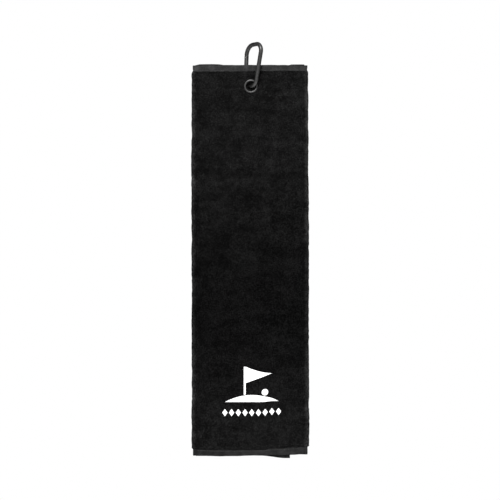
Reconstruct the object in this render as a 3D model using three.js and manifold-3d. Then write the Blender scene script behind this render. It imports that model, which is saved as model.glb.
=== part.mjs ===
// Golf towel: a velour terry cloth folded lengthwise in three, pinned by an eyelet and hung from a carabiner.
// Millimetres, +Z up, +X to the right of someone facing the printed front, which looks along -Y.
// The origin is the ring seat: the point inside the carabiner's crown where whatever holds the towel bears.

import * as THREE from 'three';
import { mergeVertices } from 'three/addons/utils/BufferGeometryUtils.js';
import Module from 'manifold-3d';

const wasm = await Module();
wasm.setup();

// ---------- driving dimensions ----------

const GAP = 0.3; // air between neighbouring pieces
const FAR = 60; // reach of a cutting block that runs out of the piece

const HOOK = {
  rod: 5.4,
  length: 60.5,
  crownWidth: 31.5, // between the legs' centrelines at the crown
  bowWidth: 20.1, // the same at the bow
  gateCorner: -0.5, // heights where the crown's slanting top would meet the legs, without its bends
  spineCorner: 4.5,
  gateCrownRadius: 13.6,
  spineCrownRadius: 8.9,
  bowRadius: 10.4,
  turn: 52, // degrees from the towel's plane, so that one leg runs in front of it and one behind
  lean: 5.6, // degrees, the bow to the left of the crown
  pivotDrop: 44.7,
};

const GATE = {
  rod: 5.4,
  length: 31.4,
  tongue: 1.6, // thickness of the body's flattened ends
  tongueTip: 2.7,
  rivet: 1.6,
  rivetHead: 2.8,
  nosePin: 1.2,
  noseDrop: 2.6, // gate's tip to the nose pin
  noseTongue: 4.2,
  slotDepth: 3.9,
  bore: 3,
  boreEnd: 17,
};

const SPRING = { coil: 1.9, wire: 0.5, turns: 7, start: 5.5, end: 16.4 };
const PLUNGER = { head: 2.3, headLength: 1.7, stem: 0.8, length: 5 };

const TOWEL = {
  width: 148, // folded
  height: 500,
  centreX: -5.45,
  centreY: -0.7, // the cloth lies nearer the leg in front of it
  top: -26.25,
  headHeight: 48, // the stretch that the eyelet pins together
  innerEdge: 51.2, // cut edge of the flap folded in first, from the left
  outerEdge: -56.5, // cut edge of the flap folded over it, from the right
};

const PILE = { thickness: 2.4, pitch: 2.4 + GAP };
const PRESSED = { thickness: 1.1, pitch: 1.1 + GAP, end: 36, spread: 46 };
const HEM = { width: 7, sideWidth: 6, thickness: 1.5, inset: 1, foldClearance: 3 };
const THREAD = { width: 0.4, proud: 0.2, depth: 0.1, fromPile: 1.8 };

const EYELET = { x: 1, drop: 25.5, bore: 12.6, barrel: 13.6, flange: 17.6, curl: 16, washer: 0.55 };

const PRINT = {
  thickness: 0.3,
  x: 2.1,
  emblemDrop: 409.1,
  emblemWidth: 68.7,
  emblemHeight: 45.5,
  ruleDrop: 445.6,
  ruleWidth: 77.6,
  ruleHeight: 9.3,
  diamonds: 9,
};

// ---------- materials ----------

const finish = (color, roughness, metalness) => (
  new THREE.MeshStandardMaterial({ color, roughness, metalness })
);
const gunmetal = finish(0x3a3b3d, 0.38, 0.9);
const steel = finish(0x8d8f92, 0.35, 1);
const velour = finish(0x101113, 0.95, 0);
const weave = finish(0x2a2b2e, 0.85, 0);
const yarn = finish(0x1c1d20, 0.8, 0);
const ink = finish(0xf2f2f0, 0.7, 0);

// ---------- shapes ----------

function solid(geometry) {
  const plain = geometry.clone();
  plain.deleteAttribute('normal');
  plain.deleteAttribute('uv');
  const merged = mergeVertices(plain, 1e-4);
  return new wasm.Manifold(new wasm.Mesh({
    numProp: 3,
    vertProperties: new Float32Array(merged.attributes.position.array),
    triVerts: new Uint32Array(merged.index.array),
  }));
}

function geometryOf(body) {
  const mesh = body.getMesh();
  const geometry = new THREE.BufferGeometry();
  geometry.setAttribute('position', new THREE.BufferAttribute(mesh.vertProperties, 3));
  geometry.setIndex(new THREE.BufferAttribute(mesh.triVerts, 1));
  geometry.computeVertexNormals();
  return geometry;
}

const cut = (body, ...tools) => tools.reduce((left, tool) => left.subtract(tool), body);
const join = (...bodies) => bodies.reduce((whole, body) => whole.add(body));

function block([x0, x1], [y0, y1], [z0, z1]) {
  const box = new THREE.BoxGeometry(x1 - x0, y1 - y0, z1 - z0);
  return solid(box.translate((x0 + x1) / 2, (y0 + y1) / 2, (z0 + z1) / 2));
}

function rodAlongY(diameter, [y0, y1], x = 0, z = 0, sides = 20) {
  const rod = new THREE.CylinderGeometry(diameter / 2, diameter / 2, y1 - y0, sides);
  return solid(rod.translate(x, (y0 + y1) / 2, z));
}

function rodAlongZ(diameter, [z0, z1], sides = 20) {
  const rod = new THREE.CylinderGeometry(diameter / 2, diameter / 2, z1 - z0, sides);
  return solid(rod.rotateX(Math.PI / 2).translate(0, 0, (z0 + z1) / 2));
}

function arc(centreX, centreY, radius, from, to, steps) {
  return Array.from({ length: steps + 1 }, (_, i) => {
    const angle = THREE.MathUtils.degToRad(from + (to - from) * i / steps);
    return new THREE.Vector2(centreX + radius * Math.cos(angle), centreY + radius * Math.sin(angle));
  });
}

// A body through level outlines from top to bottom, each {z, outline} counter-clockwise from above.
function loft(levels) {
  const count = levels[0].outline.length;
  const points = levels.flatMap(({ z, outline }) => outline.flatMap((p) => [p.x, p.y, z]));
  const faces = [];
  for (let level = 0; level < levels.length - 1; level++) {
    for (let i = 0; i < count; i++) {
      const a = level * count + i;
      const b = level * count + (i + 1) % count;
      faces.push(a, a + count, b, b, a + count, b + count);
    }
  }
  const top = levels[0].outline;
  const last = (levels.length - 1) * count;
  for (const [a, b, c] of THREE.ShapeUtils.triangulateShape(top, [])) {
    const clockwise = THREE.ShapeUtils.isClockWise([top[a], top[b], top[c]]);
    const [q, r] = clockwise ? [c, b] : [b, c];
    faces.push(a, q, r, a + last, r + last, q + last);
  }
  const geometry = new THREE.BufferGeometry();
  geometry.setAttribute('position', new THREE.Float32BufferAttribute(points, 3));
  geometry.setIndex(faces);
  return solid(geometry);
}

// Straight runs between corners, with a round bend at each inner corner, turning clockwise.
function bentPath(corners, radii) {
  const path = new THREE.Path();
  path.moveTo(corners[0].x, corners[0].y);
  radii.forEach((radius, i) => {
    const corner = corners[i + 1];
    const back = corners[i].clone().sub(corner).normalize();
    const on = corners[i + 2].clone().sub(corner).normalize();
    const halfAngle = back.angleTo(on) / 2;
    const run = radius / Math.tan(halfAngle);
    const start = back.clone().multiplyScalar(run).add(corner);
    const end = on.clone().multiplyScalar(run).add(corner);
    const centre = back.clone().add(on).setLength(radius / Math.sin(halfAngle)).add(corner);
    const angleTo = (p) => Math.atan2(p.y - centre.y, p.x - centre.x);
    path.lineTo(start.x, start.y);
    path.absarc(centre.x, centre.y, radius, angleTo(start), angleTo(end), true);
  });
  path.lineTo(corners.at(-1).x, corners.at(-1).y);
  return path;
}

// A round bar along a curve.
function bar(curve, diameter, steps, sides) {
  const section = new THREE.Shape(arc(0, 0, diameter / 2, 0, 360 - 360 / sides, sides - 1));
  return solid(new THREE.ExtrudeGeometry(section, { steps, bevelEnabled: false, extrudePath: curve }));
}

// A ring or plug turned about Y, from a closed profile of [radius, y] points.
function turned(profile, segments) {
  return solid(new THREE.LatheGeometry(profile.map(([r, y]) => new THREE.Vector2(r, y)), segments));
}

function add(group, name, body, material) {
  const mesh = new THREE.Mesh(geometryOf(body), material);
  mesh.name = name;
  group.add(mesh);
}

// ---------- carabiner ----------

const crownV = HOOK.rod / 2;
const bowV = crownV - (HOOK.length - HOOK.rod);
const legSlope = (HOOK.crownWidth - HOOK.bowWidth) / 2 / (crownV - bowV);
const gateLean = Math.atan(legSlope);
const legU = (v) => HOOK.crownWidth / 2 - (crownV - v) * legSlope;
const pivotV = -HOOK.pivotDrop;
const pivotU = -legU(pivotV);
const alongGate = (distance) => new THREE.Vector2(
  pivotU - distance * Math.sin(gateLean),
  pivotV + distance * Math.cos(gateLean),
);

// Moves a body from the gate's frame, origin at the pivot and +Z up the gate, into the hook's.
function fromGateFrame(body) {
  const degrees = -THREE.MathUtils.radToDeg(gateLean);
  return body.rotate([0, degrees, 0]).translate([pivotU, 0, pivotV]);
}

// Cuts the round rod down to a flat tongue between two heights of the gate's frame.
function tongueCutters(shoulder, [z0, z1]) {
  const half = GATE.tongue / 2;
  return [[half, FAR / 10], [-FAR / 10, -half]].map((side) => {
    const flat = block([-3, 3], side, [z0, z1]);
    return fromGateFrame(shoulder ? join(flat, rodAlongY(shoulder, side)) : flat);
  });
}

function carabinerBody() {
  const corners = [
    alongGate(GATE.length - GATE.noseTongue),
    new THREE.Vector2(-legU(HOOK.gateCorner), HOOK.gateCorner),
    new THREE.Vector2(legU(HOOK.spineCorner), HOOK.spineCorner),
    new THREE.Vector2(legU(bowV), bowV),
    new THREE.Vector2(-legU(bowV), bowV),
    alongGate(GATE.tongueTip),
  ];
  const radii = [HOOK.gateCrownRadius, HOOK.spineCrownRadius, HOOK.bowRadius, HOOK.bowRadius];
  const route = bentPath(corners, radii).getSpacedPoints(110);
  const curve = new THREE.CatmullRomCurve3(route.map((p) => new THREE.Vector3(p.x, 0, p.y)));
  const rod = bar(curve, HOOK.rod, 100, 14);
  const noseZ = GATE.length - GATE.noseDrop;
  const notch = GATE.nosePin / 2 + GAP;
  return cut(
    rod,
    ...tongueCutters(0, [GATE.length - GATE.noseTongue - 1, GATE.length + GAP]),
    ...tongueCutters(2 * (GATE.tongueTip + GAP), [0, GATE.tongueTip + 1]),
    fromGateFrame(block([-notch, FAR / 10], [-FAR / 10, FAR / 10], [noseZ - notch, noseZ + notch])),
    fromGateFrame(rodAlongY(GATE.rivet + 2 * GAP, [-FAR / 10, FAR / 10])),
  );
}

function gateRod() {
  const slot = GATE.tongue / 2 + GAP;
  const across = [-FAR / 10, FAR / 10];
  const noseZ = GATE.length - GATE.noseDrop;
  const roundEnd = join(
    rodAlongY(2 * GATE.tongueTip, across, 0, 0, 32),
    block([-FAR, FAR], across, [0, FAR]),
  );
  return cut(
    rodAlongZ(GATE.rod, [-GATE.tongueTip, GATE.length], 28).intersect(roundEnd),
    block(across, [-slot, slot], [-FAR, GATE.slotDepth]),
    block(across, [-slot, slot], [GATE.length - GATE.noseTongue - 2 * GAP, FAR]),
    rodAlongZ(GATE.bore, [GATE.tongueTip, GATE.boreEnd], 16),
    rodAlongY(GATE.rivet + 2 * GAP, across),
    rodAlongY(GATE.nosePin + 2 * GAP, across, 0, noseZ),
  );
}

function hingeRivet() {
  const shank = GATE.rivet / 2;
  const head = GATE.rivetHead / 2;
  const seat = GATE.rod / 2 + GAP;
  return turned([
    [0, -seat - 0.7], [head * 0.6, -seat - 0.55], [head, -seat - 0.2], [head, -seat], [shank, -seat],
    [shank, seat], [head, seat], [head, seat + 0.2], [head * 0.6, seat + 0.55], [0, seat + 0.7],
  ], 16);
}

function gateSpring() {
  const { coil, turns, start, end } = SPRING;
  const steps = turns * 10;
  const points = Array.from({ length: steps + 1 }, (_, i) => {
    const angle = 2 * Math.PI * turns * i / steps;
    const z = start + (end - start) * i / steps;
    return new THREE.Vector3(coil / 2 * Math.cos(angle), coil / 2 * Math.sin(angle), z);
  });
  return bar(new THREE.CatmullRomCurve3(points), SPRING.wire, steps, 6);
}

function gatePlunger() {
  const start = GATE.tongueTip + GAP;
  const neck = start + PLUNGER.headLength;
  return join(
    rodAlongZ(PLUNGER.head, [start, neck], 16),
    rodAlongZ(PLUNGER.stem, [neck - 0.2, start + PLUNGER.length], 12),
  );
}

const hook = new THREE.Group();
hook.rotation.set(0, THREE.MathUtils.degToRad(HOOK.lean), -THREE.MathUtils.degToRad(HOOK.turn), 'YZX');
const nosePinReach = GATE.rod / 2 - 0.2;
const nosePin = rodAlongY(GATE.nosePin, [-nosePinReach, nosePinReach], 0, GATE.length - GATE.noseDrop, 12);
add(hook, 'carabiner_body', carabinerBody(), gunmetal);
add(hook, 'hinge_rivet', fromGateFrame(hingeRivet()), steel);
add(hook, 'gate', fromGateFrame(gateRod()), gunmetal);
add(hook, 'nose_pin', fromGateFrame(nosePin), steel);
add(hook, 'gate_spring', fromGateFrame(gateSpring()), steel);
add(hook, 'gate_plunger', fromGateFrame(gatePlunger()), steel);

// ---------- cloth ----------

// The front layer with both folds, seen from above. Layers lie one pitch apart, the middle one on y = 0:
// the left fold joins the front to the middle layer, and the right fold joins the front to the back one.
function wrapOutline(thickness, pitch, width) {
  const leftX = (pitch + thickness - width) / 2;
  const rightX = (width - thickness) / 2 - pitch;
  return [
    ...arc(leftX, -pitch / 2, (pitch + thickness) / 2, 90, 270, 8),
    ...arc(rightX, 0, pitch + thickness / 2, -90, 90, 10),
    ...arc(rightX, 0, pitch - thickness / 2, 90, -90, 8),
    ...arc(leftX, -pitch / 2, (pitch - thickness) / 2, 270, 90, 4),
  ];
}

const headLevels = [
  { drop: HEM.width + GAP, ...PRESSED },
  { drop: PRESSED.end, ...PRESSED },
  { drop: PRESSED.spread, ...PILE },
];
const pileBottom = TOWEL.height - HEM.width - GAP;
const foldAxis = {
  inner: (PILE.pitch + PILE.thickness - TOWEL.width) / 2,
  outer: (TOWEL.width - PILE.thickness) / 2 - PILE.pitch,
};
const eyeletHole = (diameter) => rodAlongY(diameter, [-FAR, FAR], EYELET.x, -EYELET.drop, 40);
const clothHole = eyeletHole(EYELET.barrel + 2 * GAP);

function frontPanel() {
  const levels = [...headLevels, { drop: pileBottom, ...PILE }];
  const wrap = loft(levels.map(({ drop, thickness, pitch }) => (
    { z: -drop, outline: wrapOutline(thickness, pitch, TOWEL.width) }
  )));
  const cupRadius = PILE.thickness / 2 + GAP;
  const seat = (x, y) => {
    const cup = new THREE.CylinderGeometry(cupRadius, cupRadius, TOWEL.height, 24);
    return solid(cup.rotateX(Math.PI / 2).translate(x, y, -TOWEL.headHeight - TOWEL.height / 2));
  };
  return cut(wrap, clothHole, seat(foldAxis.inner, 0), seat(foldAxis.outer, PILE.pitch));
}

const slabOutline = ([x0, x1], y, thickness) => [
  new THREE.Vector2(x0, y - thickness / 2),
  new THREE.Vector2(x1, y - thickness / 2),
  new THREE.Vector2(x1, y + thickness / 2),
  new THREE.Vector2(x0, y + thickness / 2),
];

// The pinned top of a flap, layer 0 in the middle or 1 at the back.
function flapHead(layer, span) {
  const levels = [...headLevels, { drop: TOWEL.headHeight, ...PILE }];
  return cut(loft(levels.map(({ drop, thickness, pitch }) => (
    { z: -drop, outline: slabOutline(span, layer * pitch, thickness) }
  ))), clothHole);
}

// The loose part of a flap: a slab whose folded side is a round bead on the fold's axis.
function flap(layer, axisX, edgeX) {
  const y = layer * PILE.pitch;
  const half = PILE.thickness / 2;
  const backCorner = new THREE.Vector2(edgeX, y + half);
  const frontCorner = new THREE.Vector2(edgeX, y - half);
  const outline = axisX > edgeX
    ? [backCorner, frontCorner, ...arc(axisX, y, half, -90, 90, 10)]
    : [...arc(axisX, y, half, 90, 270, 10), frontCorner, backCorner];
  return loft([TOWEL.headHeight + GAP, pileBottom].map((drop) => ({ z: -drop, outline })));
}

// Thread laid in a shallow groove on the face at y, towards the side's sign; both span the same box.
function seam([x0, x1], face, side, [z0, z1]) {
  const between = (a, b) => [Math.min(a, b), Math.max(a, b)];
  const thread = between(face + side * THREAD.proud, face - side * THREAD.depth);
  const groove = between(face + side, face - side * (THREAD.depth + GAP));
  return {
    thread: block([x0, x1], thread, [z0, z1]),
    groove: block([x0 - GAP, x1 + GAP], groove, [z0 - GAP, z1 + GAP]),
  };
}

const towel = new THREE.Group();
towel.position.set(TOWEL.centreX, TOWEL.centreY, TOWEL.top);

function addSewn(name, body, stitch, threadName) {
  add(towel, name, cut(body, stitch.groove), weave);
  add(towel, threadName, stitch.thread, yarn);
}

const halfHem = HEM.thickness / 2;
const innerHeadSpan = [foldAxis.inner + GAP, TOWEL.innerEdge];
const outerHeadSpan = [TOWEL.outerEdge, foldAxis.outer - GAP];
const innerPileEdge = TOWEL.innerEdge - HEM.sideWidth - GAP;
const outerPileEdge = TOWEL.outerEdge + HEM.sideWidth + GAP;
const seamZ = (edgeDrop, towardsPile) => {
  const middle = -edgeDrop + towardsPile * (HEM.width - THREAD.fromPile);
  return [middle - THREAD.width / 2, middle + THREAD.width / 2];
};
const topSeamZ = seamZ(0, -1);
const bottomSeamZ = seamZ(TOWEL.height, 1);
const hemWrap = (thickness, pitch, top, bottom) => loft([top, bottom].map((drop) => (
  { z: -drop, outline: wrapOutline(thickness, pitch, TOWEL.width - 2 * HEM.inset) }
)));

add(towel, 'front_panel', frontPanel(), velour);
add(towel, 'inner_flap_head', flapHead(0, innerHeadSpan), velour);
add(towel, 'outer_flap_head', flapHead(1, outerHeadSpan), velour);
add(towel, 'inner_flap', flap(0, foldAxis.inner, innerPileEdge), velour);
add(towel, 'outer_flap', flap(1, foldAxis.outer, outerPileEdge), velour);

// top hems: the front one wraps both folds
const frontSeamSpan = [-TOWEL.width / 2 + 6, TOWEL.width / 2 - 8];
const topFace = PRESSED.pitch + PRESSED.thickness / 2;
addSewn('top_hem_front', hemWrap(PRESSED.thickness, PRESSED.pitch, 0, HEM.width),
  seam(frontSeamSpan, -topFace, -1, topSeamZ), 'top_thread_front');
add(towel, 'top_hem_inner', loft([0, HEM.width].map((drop) => (
  { z: -drop, outline: slabOutline(innerHeadSpan, 0, PRESSED.thickness) }))), weave);
addSewn('top_hem_outer', loft([0, HEM.width].map((drop) => (
  { z: -drop, outline: slabOutline(outerHeadSpan, PRESSED.pitch, PRESSED.thickness) }))),
seam([TOWEL.outerEdge + 2, foldAxis.outer - 4], topFace, 1, topSeamZ), 'top_thread_outer');

// bottom hems: the front one wraps both folds, and each flap carries its own
const hemTop = TOWEL.height - HEM.width;
const backFace = PILE.pitch + halfHem;
const innerHemSpan = [foldAxis.inner + HEM.foldClearance, innerPileEdge];
const outerHemSpan = [outerPileEdge, foldAxis.outer - HEM.foldClearance];
addSewn('bottom_hem_front', hemWrap(HEM.thickness, PILE.pitch, hemTop, TOWEL.height),
  seam(frontSeamSpan, -backFace, -1, bottomSeamZ), 'bottom_thread_front');
add(towel, 'bottom_hem_inner', block(innerHemSpan, [-halfHem, halfHem], [-TOWEL.height, -hemTop]), weave);
addSewn('bottom_hem_outer',
  block(outerHemSpan, [PILE.pitch - halfHem, backFace], [-TOWEL.height, -hemTop]),
  seam([outerPileEdge + 2, foldAxis.outer - HEM.foldClearance - 2], backFace, 1, bottomSeamZ),
  'bottom_thread_outer');

// side hems, along the two long cut edges behind the front
const sideHemZ = [-TOWEL.height, -TOWEL.headHeight - GAP];
const sideSeamZ = [sideHemZ[0] + 2, sideHemZ[1] - 2];
const sideSeam = (pileEdge, towardsEdge, face) => {
  const middle = pileEdge + towardsEdge * (THREAD.fromPile + GAP);
  return seam([middle - THREAD.width / 2, middle + THREAD.width / 2], face, 1, sideSeamZ);
};
addSewn('side_hem_inner',
  block([TOWEL.innerEdge - HEM.sideWidth, TOWEL.innerEdge], [-halfHem, halfHem], sideHemZ),
  sideSeam(innerPileEdge, 1, halfHem), 'side_thread_inner');
addSewn('side_hem_outer',
  block([TOWEL.outerEdge, TOWEL.outerEdge + HEM.sideWidth], [PILE.pitch - halfHem, backFace], sideHemZ),
  sideSeam(outerPileEdge, -1, backFace), 'side_thread_outer');

// ---------- eyelet ----------

const flangeSeat = topFace + GAP;
const washerBack = flangeSeat + EYELET.washer;

function eyeletShell() {
  const inner = EYELET.bore / 2;
  const outer = EYELET.barrel / 2;
  const flange = EYELET.flange / 2;
  const curl = EYELET.curl / 2;
  const curlSeat = washerBack + GAP;
  return turned([
    [outer, -flangeSeat], [outer, curlSeat - 0.1], [outer + 0.3, curlSeat], [curl, curlSeat],
    [curl + 0.1, curlSeat + 0.3], [curl - 0.3, curlSeat + 0.6], [outer + 0.4, curlSeat + 0.65],
    [inner + 0.4, curlSeat + 0.4], [inner + 0.1, curlSeat], [inner, curlSeat - 0.6],
    [inner, -flangeSeat + 0.3], [inner + 0.12, -flangeSeat - 0.4], [inner + 0.5, -flangeSeat - 0.85],
    [inner + 1.15, -flangeSeat - 1.05], [flange - 0.5, -flangeSeat - 0.85], [flange - 0.1, -flangeSeat - 0.4],
    [flange, -flangeSeat], [outer, -flangeSeat],
  ], 40);
}

function eyeletWasher() {
  const inner = EYELET.barrel / 2 + GAP;
  const outer = EYELET.flange / 2;
  return turned([
    [inner, flangeSeat], [outer, flangeSeat], [outer, washerBack - 0.2], [outer - 0.2, washerBack],
    [inner, washerBack], [inner, flangeSeat],
  ], 40);
}

const eyeletGroup = new THREE.Group();
eyeletGroup.position.set(EYELET.x, 0, -EYELET.drop);
add(eyeletGroup, 'eyelet', eyeletShell(), gunmetal);
add(eyeletGroup, 'eyelet_washer', eyeletWasher(), gunmetal);
towel.add(eyeletGroup);

// ---------- print ----------

const PRINT_BACK = -(PILE.pitch + PILE.thickness / 2) - GAP;

// A flat ink shape drawn in x and z about its own centre.
function inkPlate(shape, x, drop) {
  const options = { depth: PRINT.thickness, bevelEnabled: false, curveSegments: 16 };
  const plate = new THREE.ExtrudeGeometry(shape, options);
  return solid(plate.rotateX(Math.PI / 2).translate(x, PRINT_BACK, -drop));
}

// A golf flag on a mound, as a plain pictogram.
function flagPrint() {
  const halfWidth = PRINT.emblemWidth / 2;
  const halfHeight = PRINT.emblemHeight / 2;
  const mound = new THREE.Shape();
  mound.moveTo(-halfWidth, -halfHeight);
  mound.lineTo(halfWidth, -halfHeight);
  mound.quadraticCurveTo(0, -halfHeight + 18, -halfWidth, -halfHeight);
  const stick = new THREE.Shape();
  stick.moveTo(-10.2, -halfHeight + 1);
  stick.lineTo(-7.8, -halfHeight + 1);
  stick.lineTo(-7.8, halfHeight);
  stick.lineTo(-10.2, halfHeight);
  const pennant = new THREE.Shape();
  pennant.moveTo(-8, halfHeight);
  pennant.lineTo(-8, halfHeight - 21);
  pennant.quadraticCurveTo(6, halfHeight - 16, 26, halfHeight - 9);
  pennant.quadraticCurveTo(8, halfHeight - 7, -8, halfHeight);
  return join(...[mound, stick, pennant].map((shape) => inkPlate(shape, PRINT.x, PRINT.emblemDrop)));
}

function ballPrint() {
  const ball = new THREE.Shape(arc(17, -10.4, 4.2, 0, 345, 23));
  return inkPlate(ball, PRINT.x, PRINT.emblemDrop);
}

// A thin rule with a row of diamonds on it.
function rulePrint() {
  const outline = (points) => new THREE.Shape(points.map(([x, z]) => new THREE.Vector2(x, z)));
  const halfWidth = PRINT.ruleWidth / 2;
  const tall = PRINT.ruleHeight / 2;
  const pitch = PRINT.ruleWidth / PRINT.diamonds;
  const line = outline([[-halfWidth, -0.6], [halfWidth, -0.6], [halfWidth, 0.6], [-halfWidth, 0.6]]);
  const diamonds = Array.from({ length: PRINT.diamonds }, (_, i) => {
    const x = (i - (PRINT.diamonds - 1) / 2) * pitch;
    return outline([[x - 3.4, 0], [x, -tall], [x + 3.4, 0], [x, tall]]);
  });
  return join(...[line, ...diamonds].map((shape) => inkPlate(shape, PRINT.x, PRINT.ruleDrop)));
}

add(towel, 'print_flag', flagPrint(), ink);
add(towel, 'print_ball', ballPrint(), ink);
add(towel, 'print_rule', rulePrint(), ink);

// ---------- the whole object ----------

const golfTowel = new THREE.Group();
golfTowel.add(hook, towel);
golfTowel.updateMatrixWorld(true);

export default golfTowel;
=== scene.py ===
"""A golf towel folded in three, hung from a carabiner by its eyelet.

Lengths are in millimetres until a mesh is made, which is in metres. The carabiner is built in its own plane,
as (u, n, v): u across it, n out of it and v along it. The cloth, its hems, stitches and print are built as
(x, y, drop) from the middle of the towel's top edge, TOWEL_AT: y runs to the back and drop runs down.
"""

import math

import bmesh
import bpy
import numpy as np
from mathutils import Matrix, Vector


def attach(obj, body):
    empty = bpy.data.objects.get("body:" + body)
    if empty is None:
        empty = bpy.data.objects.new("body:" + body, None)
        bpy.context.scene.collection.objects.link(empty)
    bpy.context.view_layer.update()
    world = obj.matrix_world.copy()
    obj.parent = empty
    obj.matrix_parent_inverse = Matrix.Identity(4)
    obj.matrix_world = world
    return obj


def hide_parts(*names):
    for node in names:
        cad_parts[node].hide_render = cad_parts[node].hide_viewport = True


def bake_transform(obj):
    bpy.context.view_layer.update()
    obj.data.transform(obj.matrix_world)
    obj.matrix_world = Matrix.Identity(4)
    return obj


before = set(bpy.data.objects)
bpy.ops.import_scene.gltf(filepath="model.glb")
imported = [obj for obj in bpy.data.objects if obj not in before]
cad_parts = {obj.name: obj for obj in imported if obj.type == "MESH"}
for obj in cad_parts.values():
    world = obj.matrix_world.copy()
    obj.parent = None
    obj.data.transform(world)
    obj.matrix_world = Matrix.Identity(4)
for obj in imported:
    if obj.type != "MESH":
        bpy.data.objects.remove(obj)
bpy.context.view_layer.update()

MM = 0.001
GAP = 0.3

# ---- dimensions, as in the part ----

ROD = 5.4
HOOK_LENGTH = 60.5
CROWN_WIDTH, BOW_WIDTH = 31.5, 20.1
GATE_CORNER, SPINE_CORNER = -0.5, 4.5
GATE_CROWN_RADIUS, SPINE_CROWN_RADIUS, BOW_RADIUS = 13.6, 8.9, 10.4
HOOK_TURN, HOOK_LEAN = 52.0, 5.6
PIVOT_DROP = 44.7

GATE_ROD, GATE_LENGTH = 5.4, 31.4
TONGUE, TONGUE_TIP = 1.6, 2.7
RIVET, RIVET_HEAD = 1.6, 2.8
NOSE_PIN, NOSE_DROP, NOSE_TONGUE = 1.2, 2.6, 4.2
SLOT_DEPTH, BORE, BORE_END = 3.9, 3.0, 17.0
SPRING_COIL, SPRING_WIRE, SPRING_TURNS = 1.9, 0.5, 7
SPRING_START, SPRING_END = 5.5, 16.4
PLUNGER_HEAD, PLUNGER_HEAD_LENGTH, PLUNGER_STEM, PLUNGER_LENGTH = 2.3, 1.7, 0.8, 5.0

TOWEL_AT = np.array([-5.45, -0.7, -26.25])
WIDTH, HEIGHT = 148.0, 500.0
PILE, PITCH = 2.4, 2.7
PRESSED, PRESSED_PITCH = 1.1, 1.4
HEM, SIDE_HEM, HEM_THICK = 7.0, 6.0, 1.5
INNER_EDGE, OUTER_EDGE = 51.2, -56.5
INNER_AXIS = (PITCH + PILE - WIDTH) / 2
OUTER_AXIS = (WIDTH - PILE) / 2 - PITCH
EYELET_X, EYELET_DROP = 1.0, 25.5
EYELET_HOLE = 7.1

EMBLEM_X, EMBLEM_DROP = 2.1, 409.1
EMBLEM_WIDTH, EMBLEM_HEIGHT = 68.7, 45.5
RULE_DROP, RULE_WIDTH, RULE_HEIGHT, DIAMONDS = 445.6, 77.6, 9.3, 9
INK = 0.3

# ---- dimensions of the finer pieces ----

# how far a cutting body reaches, through a rod and past the gate's end
THROUGH = (-6.0, 6.0)
CUT_END = 60.0

SEAM_INSET = 1.8
STITCH_PITCH, STITCH_LENGTH, STITCH_WIDTH = 2.9, 2.5, 0.42
FOLD_OVERLAP, PILE_OVER_HEM = 2.0, 0.6
# at each end of the towel: where the hems start, how far apart the layers are, and how thick the hems are
TOP_END = (0.0, PRESSED_PITCH, PRESSED)
BOTTOM_END = (HEIGHT - HEM, PITCH, HEM_THICK)

INK_STAND_OFF = 0.28
BALL_X, BALL_V, BALL_RADIUS = 17.0, -10.4, 4.2

CAMERA_AT = (-0.00558, -10.714, -0.26235)
FLOOR_Z, FLOOR_HALF = -0.8, 1.15

# ---- numbers ----


def smooth(x, start, end):
    t = np.clip((np.asarray(x, float) - start) / (end - start), 0, 1)
    return t * t * (3 - 2 * t)


def rounded_end(distance, radius, least=0.05):
    """The share of its thickness that a body has at this distance from an end with a round edge."""
    inside = np.clip(distance / radius, 0, 1)
    return np.sqrt(np.clip(1 - (1 - inside) ** 2, least, 1))


class Noise:
    """Smooth noise in the plane, from -1 to 1, the same on every run.

    A number added to x or y where it is called picks another part of it.
    """

    def __init__(self, seed):
        self.values = np.random.RandomState(seed).uniform(-1, 1, (256, 256))

    def __call__(self, x, y, size):
        x, y = np.asarray(x, float) / size, np.asarray(y, float) / size
        i, j = np.floor(x).astype(int), np.floor(y).astype(int)
        fx, fy = x - i, y - j
        fx, fy = fx * fx * (3 - 2 * fx), fy * fy * (3 - 2 * fy)
        v = self.values
        i0, i1, j0, j1 = i % 256, (i + 1) % 256, j % 256, (j + 1) % 256
        low = v[i0, j0] * (1 - fx) + v[i1, j0] * fx
        high = v[i0, j1] * (1 - fx) + v[i1, j1] * fx
        return low * (1 - fy) + high * fy


broad, fine, edge_noise = Noise(3), Noise(11), Noise(29)

# ---- meshes ----


def make(name, verts, faces, material, body=None, stands_for=(), sharp=None, which=None):
    """A piece from points in millimetres. which gives each face's number in a list of materials."""
    verts = np.asarray(verts, float) * MM
    mesh = bpy.data.meshes.new(name)
    mesh.from_pydata(verts.tolist(), [], [list(map(int, f)) for f in faces])
    for m in material if isinstance(material, list) else [material]:
        mesh.materials.append(m)
    if which is not None:
        mesh.polygons.foreach_set("material_index", np.asarray(which, np.int32))
    return finish_mesh(name, mesh, body, stands_for, sharp)


def finish_mesh(name, mesh, body, stands_for, sharp):
    """A piece with its faces turned outwards, smooth but for edges sharper than `sharp` degrees."""
    b = bmesh.new()
    b.from_mesh(mesh)
    if b.calc_volume(signed=True) < 0:
        bmesh.ops.reverse_faces(b, faces=b.faces)
    for f in b.faces:
        f.smooth = True
    if sharp is not None:
        for e in b.edges:
            e.smooth = len(e.link_faces) == 2 and e.calc_face_angle(0) < math.radians(sharp)
    b.to_mesh(mesh)
    b.free()
    piece = bpy.data.objects.new(name, mesh)
    bpy.context.scene.collection.objects.link(piece)
    if body:
        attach(piece, body)
    if stands_for:
        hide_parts(*stands_for)
    return piece


def grid_faces(rows, columns, closed=False):
    """Quads of a grid of points; closed joins the last column to the first."""
    index = np.arange(rows * columns).reshape(rows, columns)
    on = np.roll(index, -1, 1) if closed else index[:, 1:]
    here = index if closed else index[:, :-1]
    return np.stack([here[:-1], here[1:], on[1:], on[:-1]], -1).reshape(-1, 4)


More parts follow.
